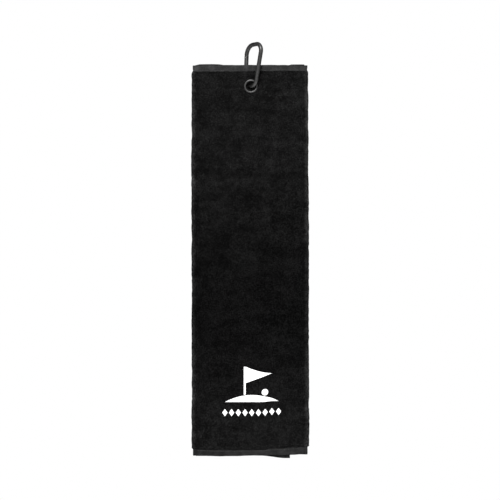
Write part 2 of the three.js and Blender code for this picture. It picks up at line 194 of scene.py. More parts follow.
def looped_faces(rows, columns):
    """Quads of a grid of points that closes on itself both ways."""
    index = np.arange(rows * columns).reshape(rows, columns)
    on = np.roll(index, -1, 0)
    return np.stack([index, on, np.roll(on, -1, 1), np.roll(index, -1, 1)], -1).reshape(-1, 4)


def sweep(rings):
    """Points and faces of a body through closed rings, capped at both ends."""
    rings = np.asarray(rings, float)
    count, sides = rings.shape[:2]
    faces = grid_faces(count, sides, closed=True).tolist()
    faces.append(list(range(sides)))
    faces.append(list(range((count - 1) * sides, count * sides))[::-1])
    return rings.reshape(-1, 3), faces


def slab(outer, inner, keep):
    """Points, faces and material numbers of a sheet between two grids of points, walled round its border.

    keep says which quads of the grid are there.
    """
    rows, columns = outer.shape[:2]
    count = rows * columns
    front = grid_faces(rows, columns)[keep.reshape(-1)]
    edges = np.concatenate([front[:, [k, (k + 1) % 4]] for k in range(4)])
    code = edges[:, 0] * count + edges[:, 1]
    back_code = edges[:, 1] * count + edges[:, 0]
    border = edges[~np.isin(code, back_code)]
    walls = np.stack([border[:, 1], border[:, 0], border[:, 0] + count, border[:, 1] + count], -1)
    faces = np.concatenate([front, front[:, ::-1] + count, walls])
    which = np.concatenate([np.zeros(len(front)), np.ones(len(front)), np.zeros(len(walls))])
    verts = np.concatenate([outer.reshape(-1, 3), inner.reshape(-1, 3)])
    used = np.unique(faces)
    renumber = np.zeros(len(verts), int)
    renumber[used] = np.arange(len(used))
    return verts[used], renumber[faces], which


# ---- materials ----


class Nodes:
    """Adds nodes to a tree."""

    def __init__(self, tree):
        self.tree = tree

    def feed(self, socket, value):
        if isinstance(value, bpy.types.NodeSocket):
            self.tree.links.new(value, socket)
        else:
            socket.default_value = value

    def add(self, kind, settings=None, **inputs):
        """A new node. An input goes by its name, with _ for each space, or by i and its number."""
        node = self.tree.nodes.new("ShaderNode" + kind)
        for key, value in (settings or {}).items():
            setattr(node, key, value)
        for key, value in inputs.items():
            numbered = key[0] == "i" and key[1:].isdigit()
            self.feed(node.inputs[int(key[1:]) if numbered else key.replace("_", " ")], value)
        return node

    def math(self, operation, a, b=0.0):
        return self.add("Math", {"operation": operation}, i0=a, i1=b).outputs[0]

    def total(self, *shares):
        """The sum of values, each times its weight."""
        result = None
        for value, weight in shares:
            part = self.math("MULTIPLY", value, weight)
            result = part if result is None else self.math("ADD", result, part)
        return result


class Shader(Nodes):
    """A material of one Principled shader, with its constants on the shader's own sockets."""

    def __init__(self, name, **inputs):
        self.material = bpy.data.materials.new(name)
        self.material.use_nodes = True
        super().__init__(self.material.node_tree)
        self.bsdf = self.tree.nodes["Principled BSDF"]
        for key, value in inputs.items():
            self.bsdf.inputs[key.replace("_", " ")].default_value = value
        self.where = self.tree.nodes.new("ShaderNodeTexCoord").outputs["Object"]

    def stretched(self, x, y, z, turn=0.0):
        return self.add("Mapping", Vector=self.where, Scale=(x, y, z), Rotation=(0, turn, 0)).outputs[0]

    def noise(self, size, detail, rough, where=None):
        """Noise with blobs of this size in millimetres."""
        at, scale = where or self.where, 1 / MM / size
        return self.add("TexNoise", Vector=at, Scale=scale, Detail=detail, Roughness=rough).outputs["Fac"]

    def bands(self, direction, scale, distortion, **inputs):
        """Stripes that follow each other in this direction, about 0.3 mm apart at a scale of 1."""
        kind = {"wave_type": "BANDS", "bands_direction": direction}
        at = self.stretched(1 / MM, 1 / MM, 1 / MM)
        node = self.add("TexWave", kind, Vector=at, Scale=scale, Distortion=distortion, **inputs)
        return node.outputs["Fac"]

    def ramp(self, value, low, high, to_low=0.0, to_high=1.0):
        ends = {"From_Min": low, "From_Max": high, "To_Min": to_low, "To_Max": to_high}
        return self.add("MapRange", {"clamp": True}, Value=value, **ends).outputs[0]

    def mix(self, share, a, b):
        return self.add("Mix", {"data_type": "RGBA"}, i0=share, i6=a, i7=b).outputs[2]

    def scaled(self, colour, level):
        return self.add("VectorMath", {"operation": "SCALE"}, i0=colour, Scale=level).outputs[0]

    def place(self):
        """Where a point is across the part and in height, in metres."""
        across, _, height = self.add("SeparateXYZ", Vector=self.where).outputs
        return across, height

    def bump(self, height, depth, strength, below=None):
        """Relief of this depth in millimetres, added to the relief below."""
        node = self.add("Bump", Height=height, Distance=depth * MM, Strength=strength)
        if below is not None:
            self.tree.links.new(below, node.inputs["Normal"])
        return node.outputs[0]

    def set(self, **links):
        for key, value in links.items():
            self.tree.links.new(value, self.bsdf.inputs[key.replace("_", " ")])
        return self.material


def grey(value, warm=0.0):
    return (value * (1 + warm), value, value * (1 - warm), 1)


def velour_material(name, dark, light, loops=False):
    """Cut pile, or terry loops: tufts and fibres, streaks rising to the right, and areas crushed by handling.

    Painted light: it is lighter towards the towel's top, as if lit more from above, and towards its bottom,
    as if lit from the floor; a painted sheen highlight lightens a narrow line along both folds.
    """
    s = Shader(name, Roughness=1.0, Specular_IOR_Level=0.0, Sheen_Weight=0.05, Sheen_Roughness=0.08)
    patches = s.noise(8.5, 2, 0.6)
    tufts = s.noise(3.4, 2, 0.6)
    fibres = s.noise(1.5, 2, 0.7)
    crushed = s.noise(32, 2, 0.5)
    nap = s.noise(0.45, 1, 0.6, s.stretched(1, 1, 0.6))
    slanted = s.stretched(13, 13, 75, math.radians(-32))
    streaks = s.add("TexNoise", Vector=slanted, Scale=1.0, Detail=2.0).outputs["Fac"]
    shade = s.total((patches, 0.16), (tufts, 0.16), (fibres, 0.46), (streaks, 0.12), (crushed, 0.1))
    lit = s.math("POWER", s.ramp(shade, 0.42, 0.6), 1.5)
    across, height = s.place()
    # painted light: the colour is lighter towards the top and towards the bottom, standing in for light from
    # above and from the floor
    upper = s.ramp(height, -0.31, -0.1, 0.0, 0.56)
    lower = s.ramp(height, -0.37, -0.47, 0.0, 0.4)
    level = s.math("ADD", s.math("ADD", upper, lower), 0.56)
    # painted highlight: a narrow line along both folds is made up to 2.9 times lighter, standing in for sheen
    # catching the light there
    off_middle = s.math("ABSOLUTE", s.math("SUBTRACT", across, TOWEL_AT[0] * MM))
    fold_highlight_reach = s.math("ADD", off_middle, s.ramp(patches, 0.3, 0.7, -0.0012, 0.0012))
    level = s.math("MULTIPLY", level, s.ramp(fold_highlight_reach, 0.0695, 0.0735, 1.0, 2.9))
    level = s.math("MULTIPLY", level, s.ramp(nap, 0.3, 0.7, 0.7, 1.3))
    colour = s.scaled(s.mix(lit, grey(dark), grey(light)), level)
    relief = s.bump(patches, 0.8, 0.4)
    relief = s.bump(tufts, 0.6, 0.5, relief)
    relief = s.bump(fibres, 0.35, 0.8, relief)
    relief = s.bump(nap, 0.2, 0.8, relief)
    if loops:
        cells = s.add("TexVoronoi", {"feature": "SMOOTH_F1"}, Vector=s.where, Scale=1 / MM / 1.5)
        relief = s.bump(s.math("SUBTRACT", 1.0, cells.outputs["Distance"]), 0.8, 0.8, relief)
    return s.set(Base_Color=colour, Normal=relief)


def weave_material(name, dark, light):
    """A flat woven hem, faded in clouds, with painted light: lighter at the towel's top than at its bottom,
    and shaded across each hem from one side to the other.
    """
    s = Shader(name, Roughness=0.8, Specular_IOR_Level=0.03, Sheen_Weight=0.01, Sheen_Roughness=0.2)
    warp = s.bands("X", 0.42, 0.6, Detail=1.0)
    weft = s.bands("Z", 0.5, 0.6, Detail=1.0)
    weave = s.math("MULTIPLY", warp, weft)
    cloud = s.noise(7, 3, 0.6)
    shade = s.total((weave, 0.4), (cloud, 0.6))
    across, height = s.place()
    # painted light and shade: the top hem is lighter towards the left, and the bottom hem is darker and
    # lightest towards the right
    top_hem_painted_light = s.ramp(across, -0.06, 0.05, 1.06, 0.86)
    bottom_hem_painted_shade = s.ramp(across, -0.06, 0.05, 0.4, 0.56)
    upper = s.ramp(height, -0.4, -0.3)
    level = s.total((top_hem_painted_light, upper), (bottom_hem_painted_shade, s.math("SUBTRACT", 1.0, upper)))
    colour = s.scaled(s.mix(s.ramp(shade, 0.28, 0.52), grey(dark), grey(light)), level)
    relief = s.bump(cloud, 0.8, 0.5)
    relief = s.bump(weave, 0.25, 0.9, relief)
    return s.set(Base_Color=colour, Normal=relief)


def metal_material(name, dark, light, roughness):
    """Plated metal with cloudy tarnish and fine scratches."""
    s = Shader(name, Metallic=1.0, Specular_Tint=grey(0.05))
    cloud = s.noise(3.5, 3, 0.6)
    scratches = s.noise(0.5, 2, 0.6, s.stretched(1, 1, 0.12))
    colour = s.mix(s.ramp(cloud, 0.3, 0.7), grey(dark, 0.005), grey(light, 0.005))
    wear = s.total((cloud, 0.5), (scratches, 0.5))
    rough = s.ramp(wear, 0.3, 0.7, roughness - 0.07, roughness + 0.08)
    return s.set(Base_Color=colour, Roughness=rough, Normal=s.bump(scratches, 0.03, 0.4))


def thread_material(name, dark, light):
    """Twisted yarn."""
    s = Shader(name, Roughness=0.6, Specular_IOR_Level=0.25, Sheen_Weight=0.05)
    twist = s.bands("DIAGONAL", 1.2, 0.3)
    colour = s.mix(twist, grey(dark), grey(light))
    return s.set(Base_Color=colour, Normal=s.bump(twist, 0.1, 0.8))


def ink_material(name):
    """White ink on pile, thinner on some tufts."""
    s = Shader(name, Roughness=0.75, Specular_IOR_Level=0.25)
    tufts = s.noise(2.2, 2, 0.6)
    fibres = s.noise(0.8, 2, 0.7)
    thin = s.ramp(s.total((tufts, 0.5), (fibres, 0.5)), 0.62, 0.72)
    colour = s.mix(thin, (0.88, 0.88, 0.875, 1), (0.6, 0.6, 0.6, 1))
    relief = s.bump(tufts, 0.3, 0.5)
    relief = s.bump(fibres, 0.15, 0.5, relief)
    return s.set(Base_Color=colour, Normal=relief)


VELOUR = velour_material("velour_pile", 0.0025, 0.0128)
LOOPS = velour_material("terry_loops", 0.004, 0.0145, loops=True)
WEAVE = weave_material("hem_weave", 0.0145, 0.054)
# painted shade: a darker copy of the hem weave for the inner flap's hems, which lie in the shadow of the
# front layer
WEAVE_SHADED = weave_material("hem_weave_painted_shade", 0.012, 0.03)
YARN = thread_material("sewing_thread", 0.02, 0.045)
INK_WHITE = ink_material("print_ink")
GUNMETAL = metal_material("gunmetal", 0.06, 0.085, 0.4)
STEEL = metal_material("pin_steel", 0.2, 0.26, 0.3)
EYELET_METAL = metal_material("eyelet_metal", 0.06, 0.09, 0.45)

# ---- carabiner ----

crown_v = ROD / 2
bow_v = crown_v - (HOOK_LENGTH - ROD)
leg_slope = (CROWN_WIDTH - BOW_WIDTH) / 2 / (crown_v - bow_v)
gate_lean = math.atan(leg_slope)


def leg_u(v):
    """How far a leg's middle is from the hook's at this height."""
    return CROWN_WIDTH / 2 - (crown_v - v) * leg_slope


pivot_v = -PIVOT_DROP
pivot_u = -leg_u(pivot_v)
nose_at = GATE_LENGTH - NOSE_DROP


def along_gate(distance):
    return np.array([pivot_u - distance * math.sin(gate_lean), pivot_v + distance * math.cos(gate_lean)])


GATE_TO_HOOK = Matrix.Translation((pivot_u, 0, pivot_v)) @ Matrix.Rotation(-gate_lean, 4, "Y")
HOOK_TURNED = Matrix.Rotation(-math.radians(HOOK_TURN), 4, "Z")
HOOK_TO_PART = Matrix.Rotation(math.radians(HOOK_LEAN), 4, "Y") @ HOOK_TURNED
HOOK_CORNERS = [
    along_gate(GATE_LENGTH - NOSE_TONGUE), np.array([-leg_u(GATE_CORNER), GATE_CORNER]),
    np.array([leg_u(SPINE_CORNER), SPINE_CORNER]), np.array([leg_u(bow_v), bow_v]),
    np.array([-leg_u(bow_v), bow_v]), along_gate(TONGUE_TIP),
]
HOOK_RADII = [GATE_CROWN_RADIUS, SPINE_CROWN_RADIUS, BOW_RADIUS, BOW_RADIUS]


def hook_path(spacing):
    """The rod's centreline, with a round bend at each inner corner, turning clockwise."""
    points = [HOOK_CORNERS[0]]
    for before, corner, after, radius in zip(HOOK_CORNERS, HOOK_CORNERS[1:], HOOK_CORNERS[2:], HOOK_RADII):
        back, on = before - corner, after - corner
        back, on = back / np.linalg.norm(back), on / np.linalg.norm(on)
        half = math.acos(np.clip(back @ on, -1, 1)) / 2
        start = corner + back * radius / math.tan(half)
        middle = back + on
        centre = corner + middle / np.linalg.norm(middle) * radius / math.sin(half)
        turn = math.pi - 2 * half
        first = math.atan2(*(start - centre)[::-1])
        steps = math.ceil(radius * turn / spacing)
        for step in range(steps + 1):
            a = first - turn * step / steps
            points.append(centre + radius * np.array([math.cos(a), math.sin(a)]))
    points.append(HOOK_CORNERS[-1])
    return np.array(points)


def rod_rings(points, radius, sides):
    """Rings round a path in the hook's plane."""
    ahead = np.gradient(points, axis=0)
    ahead /= np.linalg.norm(ahead, axis=1)[:, None]
    across = np.stack([-ahead[:, 1], ahead[:, 0]], -1)
    rings = np.zeros((len(points), sides, 3))
    for k, a in enumerate(np.arange(sides) * 2 * math.pi / sides):
        rings[:, k, 0] = points[:, 0] + radius * math.cos(a) * across[:, 0]
        rings[:, k, 2] = points[:, 1] + radius * math.cos(a) * across[:, 1]
        rings[:, k, 1] = radius * math.sin(a)
    return rings


def body_of_mesh(verts, faces):
    """A body for cutting or joining, in millimetres and not yet a piece."""
    mesh = bpy.data.meshes.new("body")
    mesh.from_pydata(np.asarray(verts, float).tolist(), [], [list(map(int, f)) for f in faces])
    b = bmesh.new()
    b.from_mesh(mesh)
    bmesh.ops.recalc_face_normals(b, faces=b.faces)
    b.to_mesh(mesh)
    b.free()
    made = bpy.data.objects.new("body", mesh)
    bpy.context.scene.collection.objects.link(made)
    return made


def box_body(u, n, v):
    corners = [(x, y, z) for z in v for y in n for x in u]
    faces = [(0, 2, 3, 1), (4, 5, 7, 6), (0, 1, 5, 4), (2, 6, 7, 3), (0, 4, 6, 2), (1, 3, 7, 5)]
    return body_of_mesh(corners, faces)


def turned(profile, sides, axis, v=0.0):
    """A body turned from [radius, along] points, about n at this v, or about v."""
    rings = []
    for radius, along in profile:
        radius = max(radius, 0.02)
        ring = []
        for a in np.arange(sides) * 2 * math.pi / sides:
            p, q = radius * math.cos(a), radius * math.sin(a)
            ring.append((p, along, v + q) if axis == "n" else (p, q, along))
        rings.append(ring)
    return body_of_mesh(*sweep(rings))


def cylinder_body(radius, span, axis, v=0.0, sides=48):
    return turned([(radius, end) for end in span], sides, axis, v)


def combined(target, others, operation="DIFFERENCE"):
    for other in others:
        modifier = target.modifiers.new("cut", "BOOLEAN")
        modifier.operation, modifier.object, modifier.solver = operation, other, "EXACT"
    graph = bpy.context.evaluated_depsgraph_get()
    mesh = bpy.data.meshes.new_from_object(target.evaluated_get(graph))
    target.modifiers.clear()
    old, target.data = target.data, mesh
    bpy.data.meshes.remove(old)
    for other in others:
        bpy.data.meshes.remove(other.data)
    return target


def from_gate(made):
    """Moves a body built along the gate, from its pivot, to the hook's plane."""
    made.data.transform(GATE_TO_HOOK)
    return made


def hook_piece(name, made, material, body, stands_for):
    """Moves a body built in the hook's plane to the part's frame, and makes it a piece."""
    mesh = made.data
    bpy.data.objects.remove(made)
    mesh.transform(Matrix.Scale(MM, 4) @ HOOK_TO_PART)
    mesh.name = name
    mesh.materials.clear()
    mesh.materials.append(material)
    b = bmesh.new()
    b.from_mesh(mesh)
    bmesh.ops.remove_doubles(b, verts=b.verts, dist=1e-7)
    bmesh.ops.dissolve_degenerate(b, edges=b.edges, dist=1e-7)
    b.to_mesh(mesh)
    b.free()
    return finish_mesh(name, mesh, body, stands_for, sharp=32)


def tongue_cutters(shoulder, start, end):
    """What is cut off the rod to leave a flat tongue, with round shoulders if they have a radius."""
    half = TONGUE / 2
    made = []
    for side in ((half, THROUGH[1]), (THROUGH[0], -half)):
        made.append(box_body((THROUGH[0] / 2, THROUGH[1] / 2), side, (start, end)))
        if shoulder:
            made.append(cylinder_body(shoulder, side, "n"))
    return [from_gate(cutter) for cutter in made]


def carabiner_frame():
    """The bent rod, flattened to a tongue at the gate's nose and at its pivot."""
    rod = body_of_mesh(*sweep(rod_rings(hook_path(0.7), ROD / 2, 40)))
    notch = NOSE_PIN / 2 + GAP
    return combined(rod, [
        *tongue_cutters(0, GATE_LENGTH - NOSE_TONGUE - 1, GATE_LENGTH + GAP),
        *tongue_cutters(TONGUE_TIP + GAP, 0, TONGUE_TIP + 1),
        from_gate(box_body((-notch, THROUGH[1]), THROUGH, (nose_at - notch, nose_at + notch))),
        from_gate(cylinder_body(RIVET / 2 + GAP, THROUGH, "n")),
    ])


def gate_tube():
    """The gate: round at its pivot, slotted at both ends, and bored for the spring."""
    slot = TONGUE / 2 + GAP
    radius = GATE_ROD / 2
    wide = (1.5 * THROUGH[0], 1.5 * THROUGH[1])
    profile = [(radius, z) for z in np.linspace(-TONGUE_TIP, GATE_LENGTH - 0.35, 40)]
    profile += [(radius - 0.1, GATE_LENGTH - 0.1), (radius - 0.35, GATE_LENGTH)]
    tube = turned(profile, 48, "v")
    above_pivot = box_body(wide, THROUGH, (0, CUT_END))
    round_end = combined(cylinder_body(TONGUE_TIP, THROUGH, "n", sides=64), [above_pivot], "UNION")
    tube = combined(tube, [round_end], "INTERSECT")
    return from_gate(combined(tube, [
        box_body(THROUGH, (-slot, slot), (wide[0], SLOT_DEPTH)),
        box_body(THROUGH, (-slot, slot), (GATE_LENGTH - NOSE_TONGUE - 2 * GAP, CUT_END)),
        cylinder_body(BORE / 2, (TONGUE_TIP, BORE_END), "v"),
        cylinder_body(RIVET / 2 + GAP, THROUGH, "n"),
        cylinder_body(NOSE_PIN / 2 + GAP, THROUGH, "n", nose_at),
    ]))


def pivot_rivet():
    """A shank through the gate's end, with a domed head on each side."""
    seat = GATE_ROD / 2 + GAP
    shank, head, dome_height = RIVET / 2, RIVET_HEAD / 2, 0.7
    dome = [(head * math.cos(a), seat + dome_height * math.sin(a)) for a in np.linspace(0, math.pi / 2, 8)]
    profile = [(r, -n) for r, n in dome[::-1]] + [(shank, -seat), (shank, seat)] + dome
    return from_gate(turned(profile, 40, "n"))


def nose_pin():
    """A pin across the gate's slot, its ends chamfered."""
    radius, end, chamfer = NOSE_PIN / 2, GATE_ROD / 2 - 0.2, 0.15
    half = [(radius, end - chamfer), (radius - chamfer, end), (0, end)]
    return from_gate(turned([(r, -n) for r, n in half[::-1]] + half, 32, "n", nose_at))


def coil_spring():
    steps, sides = SPRING_TURNS * 28, 10
    t = np.linspace(0, 1, steps + 1)
    angle = 2 * math.pi * SPRING_TURNS * t
    along = SPRING_START + (SPRING_END - SPRING_START) * t
    centre = np.stack([SPRING_COIL / 2 * np.cos(angle), SPRING_COIL / 2 * np.sin(angle), along], -1)
    ahead = np.gradient(centre, axis=0)
    ahead /= np.linalg.norm(ahead, axis=1)[:, None]
    out = np.stack([np.cos(angle), np.sin(angle), 0 * t], -1)
    up = np.cross(ahead, out)
    around = np.arange(sides) * 2 * math.pi / sides
    rings = [[c + SPRING_WIRE / 2 * (math.cos(a) * o + math.sin(a) * u) for a in around]
             for c, o, u in zip(centre, out, up)]
    return from_gate(body_of_mesh(*sweep(rings)))


def plunger():
    """A round head against the hook's tongue, with a stem inside the spring."""
    start = TONGUE_TIP + GAP
    neck, end = start + PLUNGER_HEAD_LENGTH, start + PLUNGER_LENGTH
    wide, thin = PLUNGER_HEAD / 2, PLUNGER_STEM / 2
    profile = [(0, start), (wide - 0.3, start), (wide, start + 0.3), (wide, neck - 0.15), (wide - 0.15, neck)]
    profile += [(thin, neck), (thin, end - 0.1), (thin - 0.1, end), (0, end)]
    return from_gate(turned(profile, 32, "v"))


hook_piece("carabiner_frame", carabiner_frame(), GUNMETAL, "hook", ["carabiner_body"])
hook_piece("carabiner_gate", gate_tube(), GUNMETAL, "gate", ["gate"])
hook_piece("gate_rivet", pivot_rivet(), STEEL, "hook", ["hinge_rivet"])
hook_piece("gate_nose_pin", nose_pin(), STEEL, "gate", ["nose_pin"])
hook_piece("gate_coil_spring", coil_spring(), STEEL, "gate", ["gate_spring"])
hook_piece("gate_plunger_rod", plunger(), STEEL, "plunger", ["gate_plunger"])

# ---- cloth ----


def press(x, drop):
    """1 where the layers are pressed together, under the top hem's stitches and round the eyelet."""
    at_hem = 1 - smooth(drop, HEM + 0.3, HEM + 10)
    at_eyelet = 1 - smooth(np.hypot(x - EYELET_X, drop - EYELET_DROP), 10.5, 19)
    return np.maximum(at_hem, at_eyelet)


def pitch_at(x, drop):
    return PITCH - (PITCH - PRESSED_PITCH) * press(x, drop)


def pile_at(x, drop):
    return PILE - (PILE - PRESSED) * press(x, drop)


def sway(x, drop):
    """How far the layers lean out of their plane: not near the eyelet, and little near the folds."""
    x, drop = np.broadcast_arrays(np.asarray(x, float), np.asarray(drop, float))
    free = smooth(drop, 60, 130) * (1 - 0.75 * smooth(np.abs(x), 45, 72))
    return free * (0.9 * broad(x + 40, drop, 95) + 0.45 * broad(x, drop + 300, 42))


def near_bottom(drop):
    """How much the cloth at this drop follows the lower hem up or down."""
    return smooth(drop, 330, 488)


def bottom_rise(x):
    """How far the front layer's lower end is drawn up, more towards the right fold."""
    x = np.asarray(x, float)
    middle = 1.3 - 0.7 * smooth(x, -66, -45)
    return middle + 1.9 * smooth(x, 14, 30) + 1.3 * smooth(x, 40, 50) + 0.5 * smooth(x, 58, 74)


def top_lower(x):
    """How much lower than nominal the front top hem's lower edge runs."""
    return 0.1 - 1.0 * smooth(x, -40, 60)


def lift(x, drop):
    """How far up the front layer's pile is drawn, to meet both hems."""
    top = (1 - smooth(drop, HEM, 24)) * (0.1 - top_lower(x))
    return near_bottom(drop) * bottom_rise(x) + top


def side_wave(drop, side):
    """How far the pile stands out at the left fold, 0, or the right one, 1, with the fold's own waviness."""
    fluff = 1.0 + 0.5 * smooth(drop, 20, 190) - 0.4 * smooth(drop, 210, 330)
    if side:
        fluff = 1.0 + 0.5 * smooth(drop, 20, 250) + 0.4 * smooth(drop, 320, 430)
    waves = 0.4 * edge_noise(drop, 100 * side + 17, 31) + 0.3 * edge_noise(drop, 100 * side + 57, 11)
    fluff = fluff * smooth(drop, 6.5, 9) * (1 - (0.85 if side else 1.15) * smooth(drop, 492.4, 493.4))
    return fluff + waves + 0.25 * edge_noise(drop, 100 * side + 83, 4)


def tufted(s, drop):
    """How far the pile's face stands out, in tufts and crushed patches."""
    return 0.2 * fine(s, drop, 7.5) + 0.15 * fine(s + 400, drop, 3.4) + 0.1 * fine(s, drop + 700, 2.0)


def place(x, y, drop):
    """Points in the part's frame."""
    return np.stack(np.broadcast_arrays(x, y, -np.asarray(drop)), -1) + TOWEL_AT


def wrap(drop, pitch, thick, out, width, columns, fold_ends):
    """A face of the front layer: (x, y) round the left fold, x along the front, (x, y) round the right fold.

    out is +1 for the outward face, -1 for the inward one. The left fold holds one layer, the right one two.
    fold_ends: the degrees the outward face goes round the left and the right fold, then the inward face.
    """
    left_turns, front_runs, right_turns = columns
    drop, pitch, thick, width = (np.asarray(a, float).reshape(-1, 1) for a in (drop, pitch, thick, width))
    left_end, right_end = fold_ends[:2] if out > 0 else fold_ends[2:]
    left_x = (pitch + thick - width) / 2 - side_wave(drop, 0)
    right_x = (width - thick) / 2 - pitch + side_wave(drop, 1)
    half = out * thick / 2
    a = np.radians(180 - np.linspace(left_end, -90, left_turns))[None, :]
    left = (left_x + (pitch / 2 + half) * np.cos(a), -pitch / 2 + (pitch / 2 + half) * np.sin(a))
    run = np.linspace(0, 1, front_runs + 2)[None, 1:-1]
    b = np.radians(np.linspace(-90, right_end, right_turns))[None, :]
    right = (right_x + (pitch + half) * np.cos(b), (pitch + half) * np.sin(b))
    return left, left_x + (right_x - left_x) * run, right


def front_faces():
    """Both faces of the front layer's pile, as grids of x, y and drop."""
    drop = np.linspace(HEM - 0.4, HEIGHT - HEM + 0.45, 340)
    pitch, pile = pitch_at(-WIDTH / 2, drop), pile_at(-WIDTH / 2, drop)
    faces = []
    for out in (1, -1):
        left, x, right = wrap(drop, pitch, pile, out, WIDTH, (12, 100, 16), (75, 80, 25, 50))
        d = drop[:, None]
        y = -pitch_at(x, d) - out * pile_at(x, d) / 2
        xs = np.concatenate([left[0], x, right[0]], 1)
        ys = np.concatenate([left[1], y, right[1]], 1)
        d = np.broadcast_to(d, xs.shape).copy()
        if out > 0:
            nx = np.concatenate([left[0] - left[0][:, -1:], 0 * x, right[0] - right[0][:, :1]], 1)
            ny = np.concatenate([left[1] + pitch[:, None] / 2, -1 + 0 * x, right[1]], 1)
            size = np.hypot(nx, ny)
            steps = np.hypot(np.diff(xs, axis=1, prepend=xs[:, :1]), np.diff(ys, axis=1, prepend=ys[:, :1]))
            tufts = tufted(np.cumsum(steps, 1), d) * (1 - 0.75 * press(xs, d))
            xs, ys = xs + nx / size * tufts, ys + ny / size * tufts
        ragged = 0.35 * edge_noise(xs, 203, 5) + 0.3 * edge_noise(xs, 231, 2.2)
        at_ends = smooth(d, 484, 492.5) + 0.4 * (1 - smooth(d, 7, 10))
        faces.append((xs, ys + sway(xs, d), d - lift(xs, d) + ragged * at_ends))
    return faces


def flap_faces(layer, axis, edge, rows, columns, droop):
    """Both faces of the flap in the middle, 0, or at the back, 1, from its fold to its pile's edge."""
    towards = 1 if edge > axis else -1
    width = abs(edge - axis) + FOLD_OVERLAP + PILE_OVER_HEM
    bead = np.array([0.0, 0.12, 0.4, 0.8, 1.3])
    across = np.concatenate([bead, np.linspace(FOLD_OVERLAP, width, columns)])[None, :]
    taper = rounded_end(across, 1.3, 0.02) * (0.75 + 0.25 * smooth(across, 0.6, 2.6))
    drop = np.linspace(HEM - 0.2, HEIGHT - HEM + 0.2, rows)[:, None]
    x, d = np.broadcast_arrays(axis + towards * (across - FOLD_OVERLAP), drop)
    faces = []
    for face in (1, -1):
        seen = layer == 1 and face > 0
        tufts = (1.0 if seen else 0.5) * tufted(x * towards + 900 * layer, d) * (1 - 0.75 * press(x, d))
        if not seen:
            tufts = np.minimum(tufts, 0) - 0.05
        y = layer * pitch_at(x, d) + face * pile_at(x, d) * taper / 2 + face * tufts * taper
        faces.append((x.copy(), y + sway(x, d), d + near_bottom(d) * droop(x)))
    return faces


def quad_middles(a):
    return (a[:-1, :-1] + a[1:, :-1] + a[:-1, 1:] + a[1:, 1:]) / 4


def hole_in(faces):
    """Which quads stay round the eyelet's hole, with the hole's border drawn to a circle."""
    x, _, d = faces[0]
    keep = np.hypot(quad_middles(x) - EYELET_X, quad_middles(d) - EYELET_DROP) > EYELET_HOLE
    gone = np.zeros(x.shape, int)
    for i, j in ((0, 0), (1, 0), (0, 1), (1, 1)):
        gone[i:i + keep.shape[0], j:j + keep.shape[1]] += ~keep
    rim = (gone > 0) & (gone < 4)
    for xs, _, ds in faces:
        dx, dd = xs[rim] - EYELET_X, ds[rim] - EYELET_DROP
        size = np.hypot(dx, dd)
        xs[rim] = EYELET_X + dx / size * EYELET_HOLE
        ds[rim] = EYELET_DROP + dd / size * EYELET_HOLE
    return keep


def cloth(name, faces, body, stands_for):
    keep = hole_in(faces)
    outer, inner = (place(x, y, drop) for x, y, drop in faces)
    verts, quads, which = slab(outer, inner, keep)
    return make(name, verts, quads, [VELOUR, LOOPS], body, stands_for, which=which)


def inner_droop(x):
    return 0.9 - 0.5 * smooth(x, -20, 4) + 3.2 * smooth(x, 12, 46)


def outer_droop(x):
    return 0.2 - 3.4 * smooth(x, 30, 60)


inner_pile_edge = INNER_EDGE - SIDE_HEM - GAP
outer_pile_edge = OUTER_EDGE + SIDE_HEM + GAP
inner_faces = flap_faces(0, INNER_AXIS, inner_pile_edge, 300, 74, inner_droop)
outer_faces = flap_faces(1, OUTER_AXIS, outer_pile_edge, 330, 88, outer_droop)
cloth_front = cloth("cloth_front", front_faces(), "towel", ["front_panel"])
cloth_inner = cloth("cloth_inner_flap", inner_faces, None, ["inner_flap_head", "inner_flap"])
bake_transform(cloth_inner)
cloth_outer = cloth("cloth_outer_flap", outer_faces, None, ["outer_flap_head", "outer_flap"])
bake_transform(cloth_outer)

# ---- hems ----


def seam_at(top):
    """How far below its upper edge a hem is stitched, which is near the pile."""
    return HEM - SEAM_INSET if top == 0 else SEAM_INSET


def power(value, exponent):
    return np.sign(value) * np.abs(value) ** exponent


def hem_section(height, thick, seam):
    """A flat hem's outline as (down, out), with a dent along the seam on its outer face."""
    a = np.linspace(0, 2 * math.pi, 44, endpoint=False)
    down = height / 2 * (1 - power(np.cos(a), 0.55))
    out = thick / 2 * power(np.sin(a), 0.42)
    dent = 0.16 * np.exp(-((down - seam) / 0.55) ** 2)
    swell = 0.1 * np.sin(np.clip(down / seam, 0, 1) * math.pi)
    return down, np.where(out > 0, out - dent + swell, out)


def hem_drop(x, top, down, upper, lower, offset):
    """Where a hem's points hang. upper and lower give its edges' shift down at each x."""
    share = down / HEM
    wobble = 0.12 * fine(x, offset + 30 * np.round(share), 6)
    return top + down + upper(x) * (1 - share) + lower(x) * share + wobble


def wrapped_hem(name, end, upper, lower, stands_for):
    """The front layer's hem at one end of the towel, which goes round both folds."""
    top, pitch, thick = end
    down, out = hem_section(HEM, thick, seam_at(top))
    rings = []
    for d, o in zip(down, out):
        width = WIDTH - 0.8 + 2 * abs(o) - thick
        side = 1 if o > 0 else -1
        left, x, right = wrap(top + d, pitch, 2 * abs(o) + 1e-6, side, width, (10, 130, 14), (78, 82, 78, 82))
        xs = np.concatenate([left[0], x, right[0]], 1)[0]
        ys = np.concatenate([left[1], -pitch - o + 0 * x, right[1]], 1)[0]
        crinkle = 0.12 * fine(xs, d + top, 5) + 0.1 * fine(xs + 300, d + top, 2.2)
        crinkle = crinkle * (np.abs(ys + pitch) < thick) * np.sign(o)
        rings.append(place(xs, ys - crinkle + sway(xs, top + d), hem_drop(xs, top, d, upper, lower, 7)))
    verts, faces = sweep(np.array(rings).transpose(1, 0, 2))
    return make(name, verts, faces, WEAVE, "towel", stands_for)


